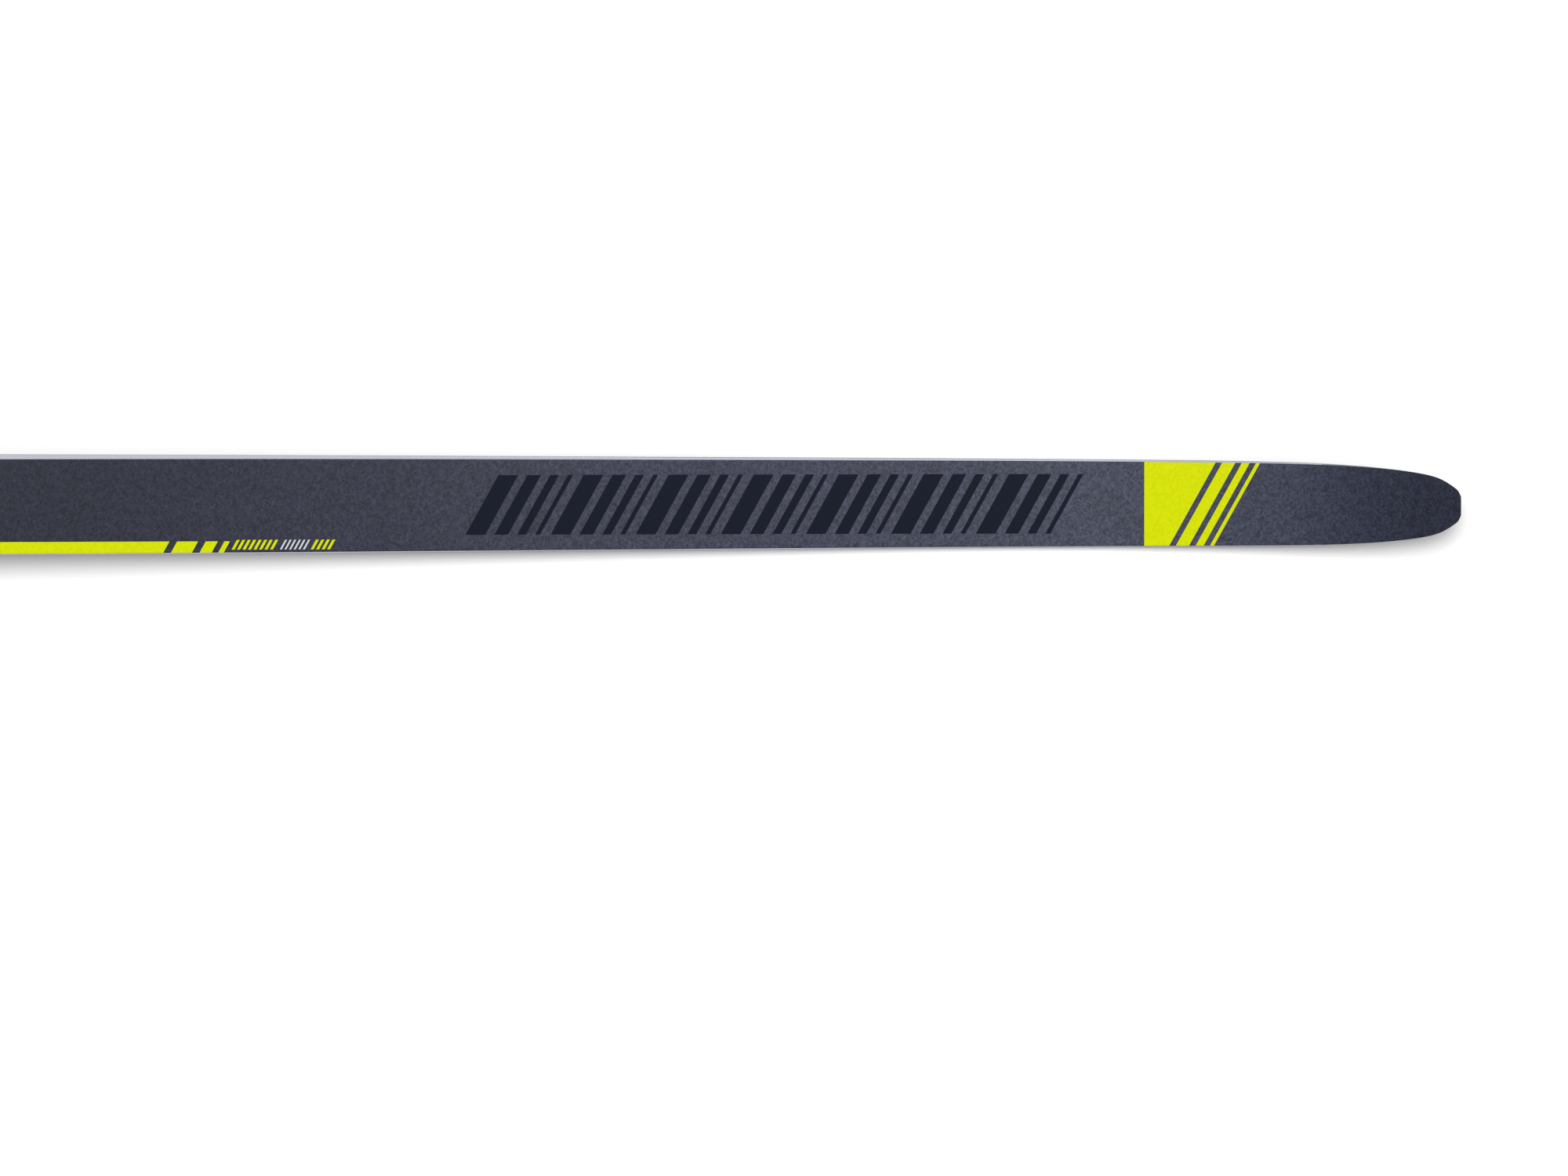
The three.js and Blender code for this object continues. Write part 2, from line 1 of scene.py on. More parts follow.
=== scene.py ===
"""The looks of a cross country skating ski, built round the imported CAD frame.

The sandwich's layers are rebuilt as smooth strips from the CAD layers' own cross sections, and the printed
graphics are thin pieces of ink that follow the top sheet. The binding's CAD pieces get rounded edges and
moulded, rubber and steel materials. Lengths are in metres unless a comment says mm, and x runs to the tip.
"""
import bisect
import json
import math

import bmesh
import bpy
import numpy as np
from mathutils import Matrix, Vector

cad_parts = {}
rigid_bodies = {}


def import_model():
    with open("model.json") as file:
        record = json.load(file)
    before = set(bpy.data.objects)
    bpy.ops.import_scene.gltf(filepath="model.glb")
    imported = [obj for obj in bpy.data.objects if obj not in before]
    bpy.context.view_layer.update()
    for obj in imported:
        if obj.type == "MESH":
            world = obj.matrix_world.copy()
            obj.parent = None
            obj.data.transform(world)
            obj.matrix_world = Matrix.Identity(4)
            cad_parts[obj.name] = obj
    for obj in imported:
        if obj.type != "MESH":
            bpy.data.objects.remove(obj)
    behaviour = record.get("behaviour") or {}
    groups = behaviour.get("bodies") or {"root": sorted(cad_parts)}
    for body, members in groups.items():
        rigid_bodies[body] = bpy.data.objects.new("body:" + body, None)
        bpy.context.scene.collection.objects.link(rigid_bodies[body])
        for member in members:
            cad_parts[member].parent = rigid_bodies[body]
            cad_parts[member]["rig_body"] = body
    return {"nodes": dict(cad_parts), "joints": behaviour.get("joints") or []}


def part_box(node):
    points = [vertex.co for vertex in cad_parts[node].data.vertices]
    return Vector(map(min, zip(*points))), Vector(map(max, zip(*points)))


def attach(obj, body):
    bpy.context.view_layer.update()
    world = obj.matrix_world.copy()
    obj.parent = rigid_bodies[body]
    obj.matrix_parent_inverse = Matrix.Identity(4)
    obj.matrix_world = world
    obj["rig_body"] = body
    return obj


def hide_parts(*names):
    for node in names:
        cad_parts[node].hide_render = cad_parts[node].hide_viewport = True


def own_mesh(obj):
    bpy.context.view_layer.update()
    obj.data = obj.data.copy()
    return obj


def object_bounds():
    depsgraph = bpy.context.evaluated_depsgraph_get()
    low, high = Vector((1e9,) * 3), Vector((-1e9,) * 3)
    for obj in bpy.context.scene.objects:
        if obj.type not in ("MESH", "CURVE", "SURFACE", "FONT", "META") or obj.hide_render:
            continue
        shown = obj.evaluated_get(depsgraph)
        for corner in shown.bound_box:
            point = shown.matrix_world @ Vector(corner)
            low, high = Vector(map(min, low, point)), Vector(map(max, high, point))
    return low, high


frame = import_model()
cad_low, cad_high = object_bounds()
NODES = frame["nodes"]
MM = 0.001


# ---------------------------------------------------------------- the ski's profile, read from the CAD layers
def smooth_through(xs, ys):
    """A smooth curve through points of rising x that never overshoots them."""
    n = len(xs) - 1
    step = [xs[i + 1] - xs[i] for i in range(n)]
    rise = [(ys[i + 1] - ys[i]) / step[i] for i in range(n)]
    slope = [rise[0]]
    for i in range(1, n):
        before, after = rise[i - 1], rise[i]
        if before * after <= 0:
            slope.append(0.0)
        else:
            a, b = 2 * step[i] + step[i - 1], step[i] + 2 * step[i - 1]
            slope.append((a + b) / (a / before + b / after))
    slope.append(rise[-1])

    def curve(x):
        i = min(max(bisect.bisect_right(xs, x) - 1, 0), n - 1)
        t = min(max((x - xs[i]) / step[i], 0.0), 1.0)
        s = 1 - t
        ends = ys[i] * s * s * (1 + 2 * t) + ys[i + 1] * t * t * (1 + 2 * s)
        return ends + step[i] * t * s * (slope[i] * s - slope[i + 1] * t)

    return curve


def sections(*names):
    """The cross sections that these CAD layers were skinned over, as {x: [(y, z), ...]}."""
    found = {}
    for name in names:
        for v in NODES[name].data.vertices:
            found.setdefault(round(v.co.x, 5), []).append((v.co.y, v.co.z))
    return dict(sorted(found.items()))


def edge_curves(found, pick):
    """Height and half width along the ski of the layers' lowest or highest face, as pick is min or max."""
    xs = list(found)
    level = [pick(z for _, z in found[x]) for x in xs]
    half = [max(abs(y) for y, z in found[x] if abs(z - h) < 1e-5) for x, h in zip(xs, level)]
    return smooth_through(xs, level), smooth_through(xs, half)


sheet_sections = sections("top_sheet", "tail_protector")
base_sections = sections("base_front", "base_middle", "base_rear", "tail_protector")
for x in [x for x in sheet_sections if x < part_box("top_sheet")[0].x - 1e-5]:
    base_sections.setdefault(x, sheet_sections[x])
ski_top, top_half = edge_curves(sheet_sections, max)
ski_bottom, bottom_half = edge_curves(base_sections, min)

TAIL_X, TIP_X = cad_low.x, cad_high.x
SHEET, LAMINATE, SOLE = 0.75 * MM, 0.7 * MM, 1.35 * MM  # thicknesses
CROWN = 0.2 * MM  # how much the top sheet falls from its middle to its edges
SHOULDER = 0.45 * MM  # radius of the top sheet's edges


def half_at(x, z):
    """Half the ski's width at x and this height, on its slanted sides."""
    low, high = ski_bottom(x), ski_top(x)
    share = (high - z) / (high - low)
    return top_half(x) + (bottom_half(x) - top_half(x)) * share


def nose_drop(x, radius):
    """How far a rounded front or rear edge of this radius falls away at x."""
    inside = min(x - TAIL_X, TIP_X - x)
    reach = max(radius - inside, 0.0)
    return radius - math.sqrt(radius * radius - reach * reach)


def stations(low, high, step=4.5 * MM):
    """x positions from low to high, closer together near the tip and the tail, where the outline turns."""
    near = [0, 0.1, 0.25, 0.5, 0.9, 1.3, 1.9, 2.6, 3.6, 5, 6.6, 8.4, 10.5, 13, 16, 20, 24, 28, 32, 36, 40]
    marks = [TAIL_X + d * MM for d in near] + [TIP_X - d * MM for d in near]
    first, last = TAIL_X + near[-1] * MM, TIP_X - near[-1] * MM
    count = round((last - first) / step)
    marks += [first + (last - first) * i / count for i in range(1, count)]
    clear = 0.05 * MM
    return [low] + sorted(x for x in marks if low + clear < x < high - clear) + [high]


# ---------------------------------------------------------------- mesh tools
def finish_mesh(name, bm, material, body="ski", angle=32.0):
    """A smooth-shaded piece that rides on body, with edges sharper than angle degrees kept crisp."""
    bmesh.ops.remove_doubles(bm, verts=bm.verts, dist=1e-7)
    bmesh.ops.recalc_face_normals(bm, faces=bm.faces)
    mesh = bpy.data.meshes.new(name)
    bm.to_mesh(mesh)
    bm.free()
    mesh.shade_smooth()
    mesh.set_sharp_from_angle(angle=math.radians(angle))
    mesh.materials.append(material)
    piece = bpy.data.objects.new(name, mesh)
    bpy.context.scene.collection.objects.link(piece)
    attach(piece, body)
    return piece


def skin_rings(bm, rings):
    """Adds closed rings of points to bm, skins them in turn and closes both ends."""
    made = [[bm.verts.new(point) for point in ring] for ring in rings]
    for a, b in zip(made, made[1:]):
        for i in range(len(a)):
            j = (i + 1) % len(a)
            bm.faces.new((a[i], a[j], b[j], b[i]))
    for ring in (made[0], made[-1]):
        cap = bm.faces.new(ring)
        bmesh.ops.triangulate(bm, faces=[cap])


def loft(name, xs, ring_at, material, body="ski", angle=32.0):
    """A piece skinned over closed rings of (y, z), one at each x."""
    bm = bmesh.new()
    skin_rings(bm, [[(x, y, z) for y, z in ring_at(x)] for x in xs])
    return finish_mesh(name, bm, material, body, angle)


def mirrored(half_ring):
    """A closed ring from its right half, listed from the bottom up."""
    return half_ring + [(-y, z) for y, z in reversed(half_ring)]


# ---------------------------------------------------------------- materials
def srgb(r, g, b):
    """A linear colour from 0 to 255 sRGB values."""
    def linear(c):
        c /= 255
        return c / 12.92 if c <= 0.04045 else ((c + 0.055) / 1.055) ** 2.4

    return (linear(r), linear(g), linear(b), 1.0)


class Shader:
    """A Principled material and short calls to wire its nodes. Patterns are laid out along the ski's axes."""

    def __init__(self, name, color, roughness, **sockets):
        self.material = bpy.data.materials.new(name)
        self.material.use_nodes = True
        self.tree = self.material.node_tree
        self.bsdf = next(n for n in self.tree.nodes if n.type == "BSDF_PRINCIPLED")
        self.set(self.bsdf, "Base Color", color)
        self.set(self.bsdf, "Roughness", roughness)
        for key, value in sockets.items():
            self.set(self.bsdf, key.replace("_", " "), value)
        self.coords = self.tree.nodes.new("ShaderNodeTexCoord").outputs["Object"]

    def set(self, node, socket, value):
        """Links a socket, or sets its own value."""
        target = node.inputs[socket]
        if isinstance(value, bpy.types.NodeSocket):
            self.tree.links.new(value, target)
        else:
            target.default_value = value

    def add(self, kind, inputs, **settings):
        """A new node with these inputs and settings."""
        node = self.tree.nodes.new("ShaderNode" + kind)
        for key, value in settings.items():
            setattr(node, key, value)
        for socket, value in inputs.items():
            self.set(node, socket, value)
        return node

    def scaled(self, scale):
        return self.add("Mapping", {"Vector": self.coords, "Scale": scale}).outputs["Vector"]

    def noise(self, scale, detail=2.0, stretch=(1, 1, 1)):
        inputs = {"Vector": self.scaled(stretch), "Scale": scale, "Detail": detail}
        return self.add("TexNoise", inputs).outputs["Fac"]

    def cells(self, scale):
        inputs = {"Vector": self.coords, "Scale": scale}
        return self.add("TexVoronoi", inputs).outputs["Color"]

    def range(self, value, low, high, start=0.0, end=1.0):
        """value from start to end, spread from low to high."""
        inputs = {"Value": value, "From Min": start, "From Max": end, "To Min": low, "To Max": high}
        return self.add("MapRange", inputs).outputs["Result"]

    def math(self, operation, a, b):
        return self.add("Math", {0: a, 1: b}, operation=operation).outputs["Value"]

    def mix(self, share, a, b, kind="MIX"):
        node = self.tree.nodes.new("ShaderNodeMix")
        node.data_type = "RGBA"
        node.blend_type = kind
        for index, value in ((0, share), (6, a), (7, b)):
            if isinstance(value, bpy.types.NodeSocket):
                self.tree.links.new(value, node.inputs[index])
            else:
                node.inputs[index].default_value = value
        return node.outputs[2]

    def shade(self, color, value):
        """color multiplied by a grey value."""
        return self.mix(1.0, color, value, "MULTIPLY")

    def worn_edges(self, least=0.1):
        """1 where an edge is rubbed most and 0 on the faces between edges."""
        edges = self.add("Attribute", {}, attribute_name="edge_wear").outputs["Fac"]
        return self.math("MULTIPLY", edges, self.range(self.noise(330, 4), least, 1.0, 0.35, 0.62))

    def bump(self, height, distance, strength=1.0):
        inputs = {"Height": height, "Distance": distance, "Strength": strength}
        self.set(self.bsdf, "Normal", self.add("Bump", inputs).outputs["Normal"])

    def color(self, value):
        self.set(self.bsdf, "Base Color", value)
        return self

    def roughness(self, value):
        self.set(self.bsdf, "Roughness", value)
        return self


FLAKES = 1150  # metallic flakes in each metre


def sheet_material():
    """Charcoal film with metallic flake, lighter ahead of the middle and darker again towards the tip: partly
    the print's own fade and partly a painted sheen of light where the sheet's slope turns.
    """
    s = Shader("charcoal_sheet", srgb(50, 53, 66), 0.5, Specular_IOR_Level=0.08)
    x = s.add("SeparateXYZ", {"Vector": s.coords}).outputs["X"]
    fade_and_sheen_ramp = s.add("ValToRGB", {"Fac": s.range(x, 0, 1, TAIL_X, TIP_X)})
    fade_and_sheen_stops = [  # x in mm, and the colour there: the film's fade with a painted sheen in the lighter middle stops
        (-900, (31, 33, 46)), (-400, (36, 40, 52)), (299, (40, 43, 54)), (430, (47, 49, 62)),
        (520, (54, 56, 69)), (620, (58, 60, 75)), (765, (62, 65, 79)), (850, (54, 57, 72)),
        (882, (41, 45, 60)), (912, (34, 37, 50)),
    ]
    elements = fade_and_sheen_ramp.color_ramp.elements
    while len(elements) < len(fade_and_sheen_stops):
        elements.new(0.5)
    for element, (at, color) in zip(elements, fade_and_sheen_stops):
        element.position = (at * MM - TAIL_X) / (TIP_X - TAIL_X)
        element.color = srgb(*color)
    grain = s.range(s.cells(FLAKES), 0.5, 1.55)
    cloud = s.range(s.noise(420, 3), 0.82, 1.18, 0.25, 0.75)
    s.color(s.shade(s.shade(fade_and_sheen_ramp.outputs["Color"], grain), cloud))
    s.roughness(s.range(s.cells(FLAKES), 0.42, 0.58))
    s.bump(s.noise(900, 2), 0.02 * MM, 0.25)
    return s.material


def ink_material(name, color, roughness, gloss=0.08):
    """Screen-printed ink: almost matt, with a faint mottle and a fine orange peel."""
    s = Shader(name, color, roughness, Specular_IOR_Level=gloss)
    s.color(s.shade(color, s.range(s.noise(700, 3), 0.93, 1.06, 0.3, 0.7)))
    s.bump(s.noise(1500, 1), 0.01 * MM, 0.2)
    return s.material


def sidewall_material():
    """Silver lavender plastic, planed lengthwise."""
    silver = srgb(168, 170, 187)
    s = Shader("sidewall", silver, 0.4)
    streaks = s.range(s.noise(900, 3, (0.02, 1, 1)), 0.88, 1.08, 0.3, 0.7)
    dust = s.range(s.noise(60, 4), 0.95, 1.04, 0.3, 0.7)
    s.color(s.shade(s.shade(silver, streaks), dust))
    s.roughness(s.range(s.noise(200, 2, (0.1, 1, 1)), 0.34, 0.5))
    s.bump(s.noise(1800, 2, (0.01, 1, 1)), 0.03 * MM, 0.4)
    return s.material


def sole_material():
    """Black polyethylene with a ground lengthwise structure and a trace of wax."""
    black = srgb(24, 25, 27)
    s = Shader("sole", black, 0.38)
    structure = s.noise(2600, 2, (0.003, 1, 1))
    haze = s.range(s.noise(25, 4, (0.3, 1, 1)), 0.8, 1.5, 0.35, 0.75)
    s.color(s.shade(s.shade(black, haze), s.range(structure, 0.75, 1.3, 0.3, 0.7)))
    s.roughness(s.range(s.noise(40, 3, (0.3, 1, 1)), 0.3, 0.48))
    s.bump(structure, 0.06 * MM, 0.6)
    return s.material


def fibre_material():
    """Pale glass fibre, with its strands along the ski."""
    pale = srgb(158, 160, 176)
    s = Shader("fibre_laminate", pale, 0.4)
    strands = s.noise(1600, 2, (0.02, 1, 1))
    s.color(s.shade(pale, s.range(strands, 0.82, 1.14, 0.3, 0.7)))
    s.roughness(s.range(strands, 0.32, 0.5, 0.3, 0.7))
    s.bump(strands, 0.03 * MM, 0.5)
    return s.material


def wood_material():
    """Strips of light softwood, with grain along the ski."""
    s = Shader("core_wood", srgb(201, 168, 119), 0.7)
    y = s.add("SeparateXYZ", {"Vector": s.coords}).outputs["Y"]
    strip = s.math("FLOOR", s.math("DIVIDE", y, 5 * MM), 0.0)
    tone = s.add("TexWhiteNoise", {"W": strip}, noise_dimensions="1D").outputs["Value"]
    grain = s.noise(220, 5, (0.06, 1, 1))
    s.color(s.shade(s.mix(grain, srgb(171, 130, 84), srgb(214, 184, 138)), s.range(tone, 0.82, 1.08)))
    s.bump(grain, 0.2 * MM, 0.5)
    return s.material


def mat_material():
    """Glass mat: pale crossing strands, set in resin."""
    s = Shader("glass_mat", srgb(186, 190, 165), 0.6)
    strands = s.noise(500, 4, (0.3, 1, 1))
    s.color(s.mix(strands, srgb(150, 156, 128), srgb(214, 216, 196)))
    s.bump(strands, 0.1 * MM, 0.6)
    return s.material


def moulded_material(name, color, roughness, grain):
    """Moulded nylon: spark-eroded grain (its depth in mm), a faint tone change, a little shine worn into high
    spots, and paler edges."""
    s = Shader(name, color, roughness)
    worn = s.noise(110, 6)
    tone = s.shade(color, s.range(worn, 0.93, 1.1, 0.3, 0.75))
    rubbed = tuple(0.55 * c + 0.08 for c in color[:3]) + (1.0,)
    s.color(s.mix(s.worn_edges(), tone, rubbed))
    s.roughness(s.range(worn, roughness + 0.05, roughness - 0.08, 0.3, 0.75))
    s.bump(s.noise(1400, 3), grain * MM, 0.5)
    return s.material


def rubber_material():
    """Black rubber with a grey bloom, a little smoother where it is paler."""
    black = srgb(33, 33, 35)
    s = Shader("rubber", black, 0.8)
    bloom = s.noise(90, 5)
    s.color(s.shade(black, s.range(bloom, 0.8, 1.5, 0.3, 0.8)))
    s.roughness(s.range(bloom, 0.88, 0.68, 0.3, 0.8))
    s.bump(s.noise(1100, 4), 0.08 * MM, 0.6)
    return s.material


def steel_material():
    """Stamped and tumbled steel, polished along its edges."""
    s = Shader("steel", srgb(190, 192, 196), 0.3, Metallic=1.0)
    brushed = s.noise(1500, 3, (1, 0.06, 1))
    tone = s.mix(s.range(brushed, 0, 1, 0.3, 0.7), srgb(168, 170, 175), srgb(196, 198, 202))
    s.color(s.mix(s.worn_edges(0.3), tone, srgb(226, 227, 229)))
    s.roughness(s.range(brushed, 0.26, 0.36, 0.3, 0.7))
    s.bump(brushed, 0.005 * MM, 0.2)
    return s.material


SHEET_MATERIAL = sheet_material()
DARK_INK = ink_material("dark_ink", srgb(17, 22, 35), 0.45, 0.03)
YELLOW_INK = ink_material("yellow_ink", srgb(193, 203, 0), 0.5, 0.03)
WHITE_INK = ink_material("white_ink", srgb(193, 196, 201), 0.5)
SIDEWALL = sidewall_material()
SOLE_BLACK = sole_material()
FIBRE = fibre_material()
WOOD = wood_material()
GLASS_MAT = mat_material()
TIP_PLASTIC = moulded_material("tip_plastic", srgb(40, 42, 52), 0.45, 0.02)
NYLON = moulded_material("nylon", srgb(34, 35, 39), 0.55, 0.06)
GREY_NYLON = moulded_material("grey_nylon", srgb(66, 69, 76), 0.48, 0.04)
RUBBER = rubber_material()
STEEL = steel_material()


# ---------------------------------------------------------------- the sandwich's layers
def sheet_height(x, y):
    """Height of the top sheet's upper face: a low crown with rounded shoulders."""
    half = top_half(x)
    top = ski_top(x) - CROWN * min(abs(y) / half, 1.0) ** 2 - nose_drop(x, SHOULDER)
    over = max(abs(y) - (half - SHOULDER), 0.0)
    height = top - SHOULDER + math.sqrt(max(SHOULDER**2 - over**2, 0.0))
    return max(height, ski_top(x) - SHEET + 0.04 * MM)


def sheet_ring(x):
    """The top sheet's section, with close steps round its shoulders."""
    half, low = top_half(x), ski_top(x) - SHEET
    flat = half - SHOULDER
    across = [flat + SHOULDER * math.sin(math.radians(d)) for d in (88, 70, 50, 30, 12)]
    across += [flat * share for share in (0.98, 0.8, 0.6, 0.4, 0.2, 0.0)]
    right = [(0.0, low), (half_at(x, low), low)] + [(y, sheet_height(x, y)) for y in across]
    return right + [(-y, z) for y, z in reversed(right[1:-1])]


def band_ring(low_at, high_at, bevel=0.05 * MM):
    """The section of a layer over the whole width, between two heights, with its edges just broken."""

    def ring(x):
        low, high = low_at(x), high_at(x)
        b = min(bevel, (high - low) / 3)
        return mirrored([
            (half_at(x, low) - b, low), (half_at(x, low + b), low + b),
            (half_at(x, high - b), high - b), (half_at(x, high) - b, high),
        ])

    return ring


def sheet_low(x):
    return ski_top(x) - SHEET


def core_high(x):
    return ski_top(x) - SHEET - LAMINATE


def sole_high(x):
    return ski_bottom(x) + SOLE


def core_low(x):
    return ski_bottom(x) + SOLE + LAMINATE


GROOVE_HALF, GROOVE_DEPTH = 2.4 * MM, 0.8 * MM
GROOVE_BEGINS, GROOVE_ENDS = (-0.9, -0.86), (0.74, 0.78)  # the stretches of x over which it fades


def groove_depth(x):
    """The sole's guide groove runs out near both ends."""

    def rise(a, b):
        t = min(max((x - a) / (b - a), 0.0), 1.0)
        return t * t * (3 - 2 * t)

    return GROOVE_DEPTH * (rise(*GROOVE_BEGINS) - rise(*GROOVE_ENDS))


def sole_ring(x):
    """The sole's section: a groove with rounded lips along the middle, and bevelled edges."""
    low, depth = ski_bottom(x) + nose_drop(x, 0.5 * MM), groove_depth(x)
    half, edge, lip_radius = half_at(x, low), 0.35 * MM, 1.0 * MM
    lip = [(GROOVE_HALF + lip_radius * (1 - math.cos(a)), low + depth * (1 - math.sin(a)))
           for a in (0.0, 0.5, 1.0, math.pi / 2)]
    right = [(0.0, low + depth), (GROOVE_HALF * 0.8, low + depth)] + lip
    right += [(half - edge, low), (half - 0.1 * MM, low + 0.12 * MM), (half_at(x, low + edge), low + edge)]
    right += [(half_at(x, sole_high(x)), sole_high(x)), (0.0, sole_high(x))]
    return right + [(-y, z) for y, z in reversed(right[1:-1])]


def sidewall_ring(side):
    """From the wood core's side to the slanted outer face, with a broken edge at the top and bottom."""
    bevel, depth = 0.22 * MM, 2.1 * MM

    def ring(x):
        low, high = core_low(x), core_high(x)
        inner = top_half(x) - depth
        points = [
            (inner, low), (half_at(x, low) - bevel, low), (half_at(x, low + bevel), low + bevel),
            (half_at(x, (low + high) / 2), (low + high) / 2),
            (half_at(x, high - bevel), high - bevel), (half_at(x, high) - bevel, high), (inner, high),
        ]
        return points if side > 0 else [(-y, z) for y, z in reversed(points)]

    return ring


LAYERS_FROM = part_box("top_sheet")[0].x
CORE_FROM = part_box("sidewall_left")[0].x
CORE_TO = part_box("sidewall_left")[1].x

top_sheet = loft("top_sheet_skin", stations(LAYERS_FROM, TIP_X), sheet_ring, SHEET_MATERIAL)
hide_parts("top_sheet")

sole = loft("running_sole", stations(LAYERS_FROM, TIP_X), sole_ring, SOLE_BLACK)
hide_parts("base_front", "base_middle", "base_rear")

for node, low_at, high_at in (
    ("upper_laminate", core_high, sheet_low),
    ("lower_laminate", sole_high, core_low),
):
    band = loft(node + "_band", stations(LAYERS_FROM, TIP_X, 9 * MM), band_ring(low_at, high_at), FIBRE)
    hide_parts(node)

for node, side in (("sidewall_left", 1), ("sidewall_right", -1)):
    wall = loft(node + "_planed", stations(CORE_FROM, CORE_TO), sidewall_ring(side), SIDEWALL)
    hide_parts(node)

for node, low, high in (("tip_spacer", CORE_TO, TIP_X), ("tail_spacer", LAYERS_FROM, CORE_FROM)):
    ring_at = band_ring(core_low, core_high, 0.15 * MM)
    spacer = loft(node + "_solid", stations(low, high), ring_at, TIP_PLASTIC)
    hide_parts(node)


def tail_ring(x):
    """The section of the moulded tail end: rounded all over, with three shallow grip grooves across it."""
    radius, groove_deep, groove_wide = 1.1 * MM, 0.45 * MM, 0.75 * MM
    grooves = sum(math.exp(-((x - TAIL_X - at * MM) / groove_wide) ** 2) for at in (5.0, 8.0, 11.0))
    inset = nose_drop(x, radius) + groove_deep * grooves
    low, high = ski_bottom(x) + nose_drop(x, radius), ski_top(x) - inset
    right = []
    for centre, start in ((low + radius, -90), (high - radius, 0)):
        for degrees in range(start, start + 91, 18):
            a = math.radians(degrees)
            z = centre + radius * math.sin(a)
            right.append((half_at(x, z) - inset - radius * (1 - math.cos(a)), z))
    return mirrored(right)


tail_end = LAYERS_FROM - 0.02 * MM
tail_stations = [TAIL_X + (tail_end - TAIL_X) * (i / 60) ** 1.3 for i in range(61)]
tail = loft("tail_end", tail_stations, tail_ring, TIP_PLASTIC, angle=50)
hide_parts("tail_protector")


# ---------------------------------------------------------------- printed graphics
INK = 0.08 * MM


def printed(name, polygons, material):
    """Thin closed pieces of ink over polygons drawn in plan, in mm. They follow the sheet and its rounded
    shoulders, and stop at its edges."""
    bm = bmesh.new()
    for polygon in polygons:
        bm.faces.new([bm.verts.new((x * MM, y * MM, 0)) for x, y in polygon])
    bmesh.ops.remove_doubles(bm, verts=bm.verts, dist=1e-7)

    def slice_at(point, normal, drop=False):
        parts = bm.verts[:] + bm.edges[:] + bm.faces[:]
        bmesh.ops.bisect_plane(
            bm, geom=parts, plane_co=point, plane_no=normal, dist=1e-8, clear_outer=drop,
        )

    xs = [v.co.x for v in bm.verts]
    step = 4 * MM
    for i in range(math.ceil(min(xs) / step), math.ceil(max(xs) / step)):
        slice_at((i * step, 0, 0), (1, 0, 0))
    for v in bm.verts:
        v.co.y /= top_half(v.co.x)
    for side in (1, -1):
        slice_at((0, 0.9985 * side, 0), (0, side, 0), drop=True)
        for share in (0.25, 0.5, 0.7, 0.85, 0.95, 0.973, 0.983, 0.992):
            slice_at((0, share * side, 0), (0, 1, 0))
    slice_at((0, 0, 0), (0, 1, 0))
    flat = bm.faces[:]
    raised = bmesh.ops.extrude_face_region(bm, geom=flat, use_keep_orig=True)["geom"]
    upper = {v for v in raised if isinstance(v, bmesh.types.BMVert)}
    for v in bm.verts:
        x, y = v.co.x, v.co.y * top_half(v.co.x)
        over = max(abs(y) - (top_half(x) - SHOULDER), 0.0) / SHOULDER
        lean = math.copysign(over, y)
        lift = INK if v in upper else 0.01 * MM
        up = math.sqrt(1 - over * over)
        v.co = (x, y + lift * lean, sheet_height(x, y) + lift * up)
    return finish_mesh(name, bm, material, angle=40)


LEAN = math.tan(math.radians(29))  # of the bars and dashes, off the ski's crosswise direction


def leaning(x0, x1, y0, y1):
    """A parallelogram whose upper side is further forward."""
    shift = LEAN * (y1 - y0)
    return [(x0, y0), (x1, y0), (x1 + shift, y1), (x0 + shift, y1)]


def leaning_groups(x0, x1, half, widths, gap):
    """Groups of forward-leaning bars that get thinner, repeated from x0 to x1."""
    pitch = sum(widths) + gap * len(widths)
    shift = 2 * half * LEAN
    count = round((x1 - x0 - shift) / pitch)
    pitch = (x1 - x0 - shift) / count
    bars = []
    for i in range(count):
        x = x0 + i * pitch
        for width in widths:
            bars.append(leaning(x, x + width, -half, half))
            x += width + gap
    return bars


def dashes(x0, x1, low, high, width, pitch):
    """Leaning dashes between x0 and x1."""
    count = int((x1 - x0 - width) / pitch) + 1
    return [leaning(x0 + i * pitch, x0 + i * pitch + width, low, high) for i in range(count)]


# Places and widths of the prints, in mm. The band's and the stripe's leaning shapes are placed by where they
# cross the print's middle, the others by their lower ends.
BEYOND = 30  # past the ski's edge, where printed() cuts the ink off
bars = leaning_groups(476, 763, 13.6, (9.0, 6.2, 4.0, 2.2), 4.2)
BAND_REAR, BAND_FRONT = 786, 808
reach = LEAN * BEYOND
band = [[
    (BAND_REAR, BEYOND), (BAND_REAR, -BEYOND), (BAND_FRONT - reach, -BEYOND), (BAND_FRONT + reach, BEYOND),
]]
for x, width in ((811, 6), (820, 3.6), (826.5, 1.8)):
    band.append(leaning(x - reach, x + width - reach, -BEYOND, BEYOND))
STRIPE_REAR, STRIPE_FRONT = -560, 340
STRIPE_TOP, STRIPE_MIDDLE = -16.2, -18.5
back = LEAN * (BEYOND + STRIPE_MIDDLE)
stripe = [leaning(STRIPE_REAR, STRIPE_FRONT - back, -BEYOND, STRIPE_TOP)]
for x, width in ((343.5, 9.5), (356.5, 5.5), (365, 2.5)):
    stripe.append(leaning(x - back, x + width - back, -BEYOND, STRIPE_TOP))
LABEL = (-20.0, -15.6)  # its lower and upper edges
label = dashes(369.5, 389.5, *LABEL, 1.3, 2.5) + dashes(405.5, 414.5, *LABEL, 1.3, 2.5)
light_label = dashes(391.5, 404, *LABEL, 0.8, 2.1)

